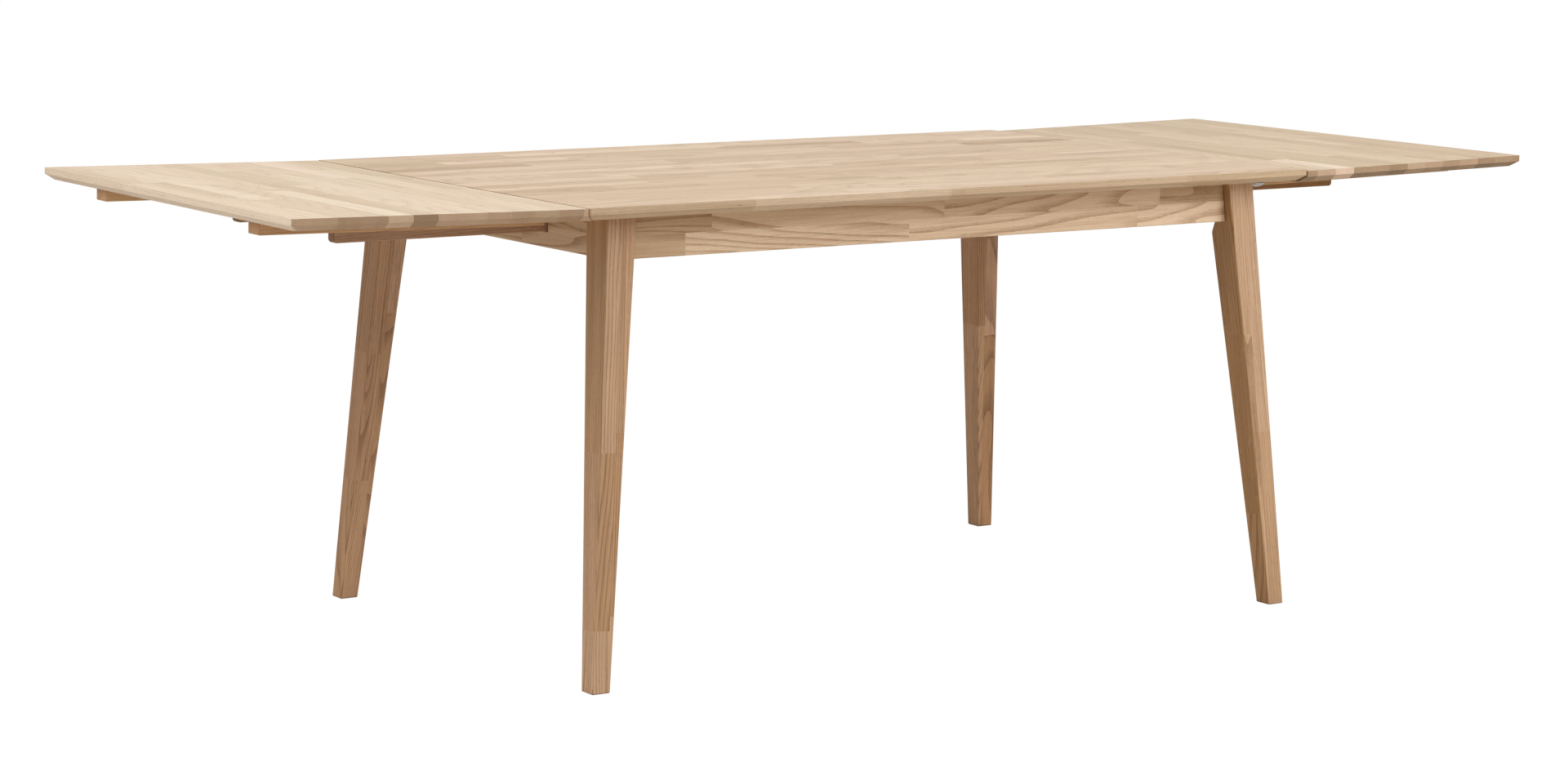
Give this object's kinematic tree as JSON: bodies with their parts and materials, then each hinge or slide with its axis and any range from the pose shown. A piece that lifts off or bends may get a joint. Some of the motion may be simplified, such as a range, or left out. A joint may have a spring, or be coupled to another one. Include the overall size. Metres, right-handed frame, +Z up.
{
  "type": "extendable dining table",
  "caption": "Oak dining table with splayed tapered legs and end leaves that rest on pull-out runners; seats more when extended.",
  "frame": {"origin": "on the floor under the middle of the extended table", "axes": "+X along the table's length, +Y across it towards the back, +Z up"},
  "size_m": [2.3766, 0.9, 0.7533],
  "materials": {
    "oak_top": "white-oiled oak staves",
    "oak_leaf": "white-oiled oak staves, a little lighter",
    "oak_leg": "oiled laminated oak",
    "oak_frame": "oiled oak staves",
    "oak_runner": "oiled oak",
    "oak_batten": "oiled oak",
    "beech": "plain beech dowel",
    "zinc_steel": "zinc plated",
    "bright_steel": "bright pressed steel",
    "felt": "dark felt",
    "nylon": "off-white nylon"
  },
  "bodies": {
    "table": {"apron_back": "oak_frame", "apron_front": "oak_frame", "apron_left": "oak_frame", "apron_right": "oak_frame", "centre_rail": "oak_frame", "corner_block_back_left": "oak_frame", "corner_block_back_right": "oak_frame", "corner_block_front_left": "oak_frame", "corner_block_front_right": "oak_frame", "corner_bolt_back_left": "zinc_steel", "corner_bolt_back_right": "zinc_steel", "corner_bolt_front_left": "zinc_steel", "corner_bolt_front_right": "zinc_steel", "cross_rail_left": "oak_frame", "cross_rail_right": "oak_frame", "foot_glide_back_left": "nylon", "foot_glide_back_right": "nylon", "foot_glide_front_left": "nylon", "foot_glide_front_right": "nylon", "leg_back_left": "oak_leg", "leg_back_right": "oak_leg", "leg_front_left": "oak_leg", "leg_front_right": "oak_leg", "table_top": "oak_top", "top_bracket_back_left": "zinc_steel", "top_bracket_back_right": "zinc_steel", "top_bracket_front_left": "zinc_steel", "top_bracket_front_right": "zinc_steel", "top_bracket_left": "zinc_steel", "top_bracket_right": "zinc_steel"},
    "leaf_left": {"leaf_left": "oak_leaf", "leaf_batten_left_back": "oak_batten", "leaf_batten_left_front": "oak_batten", "leaf_dowel_left_back": "beech", "leaf_dowel_left_front": "beech", "rest_pad_left_back": "felt", "rest_pad_left_front": "felt"},
    "latch_left": {"latch_tongue_left": "zinc_steel", "latch_knob_left": "bright_steel"},
    "runner_left_front": {"runner_left_front": "oak_runner", "stop_pin_left_front": "beech"},
    "runner_left_back": {"runner_left_back": "oak_runner", "stop_pin_left_back": "beech"},
    "leaf_right": {"leaf_right": "oak_leaf", "leaf_batten_right_back": "oak_batten", "leaf_batten_right_front": "oak_batten", "leaf_dowel_right_back": "beech", "leaf_dowel_right_front": "beech", "rest_pad_right_back": "felt", "rest_pad_right_front": "felt"},
    "latch_right": {"latch_tongue_right": "zinc_steel", "latch_knob_right": "bright_steel"},
    "runner_right_front": {"runner_right_front": "oak_runner", "stop_pin_right_front": "beech"},
    "runner_right_back": {"runner_right_back": "oak_runner", "stop_pin_right_back": "beech"}
  },
  "joints": [
    {"name": "runner_left_front_slide", "type": "slide", "parent": "table", "child": "runner_left_front", "axis": [-1, 0, 0], "range_m": [-0.3655, 0.008]},
    {"name": "runner_left_back_slide", "type": "slide", "parent": "table", "child": "runner_left_back", "axis": [-1, 0, 0], "range_m": [-0.3655, 0.008]},
    {"name": "leaf_left_draw", "type": "slide", "parent": "table", "child": "leaf_left", "axis": [-1, 0, 0], "range_m": [0, 0.04]},
    {"name": "latch_left_turn", "type": "hinge", "parent": "table", "child": "latch_left", "pos_m": [-0.6535, 0.372, 0.7207], "axis": [0, 0, 1], "range_deg": [0, 90]},
    {"name": "runner_right_front_slide", "type": "slide", "parent": "table", "child": "runner_right_front", "axis": [1, 0, 0], "range_m": [-0.3735, 0]},
    {"name": "runner_right_back_slide", "type": "slide", "parent": "table", "child": "runner_right_back", "axis": [1, 0, 0], "range_m": [-0.3735, 0]},
    {"name": "leaf_right_draw", "type": "slide", "parent": "table", "child": "leaf_right", "axis": [1, 0, 0], "range_m": [0, 0.04]},
    {"name": "latch_right_turn", "type": "hinge", "parent": "table", "child": "latch_right", "pos_m": [0.6535, -0.372, 0.7207], "axis": [0, 0, 1], "range_deg": [0, 90]}
  ]
}
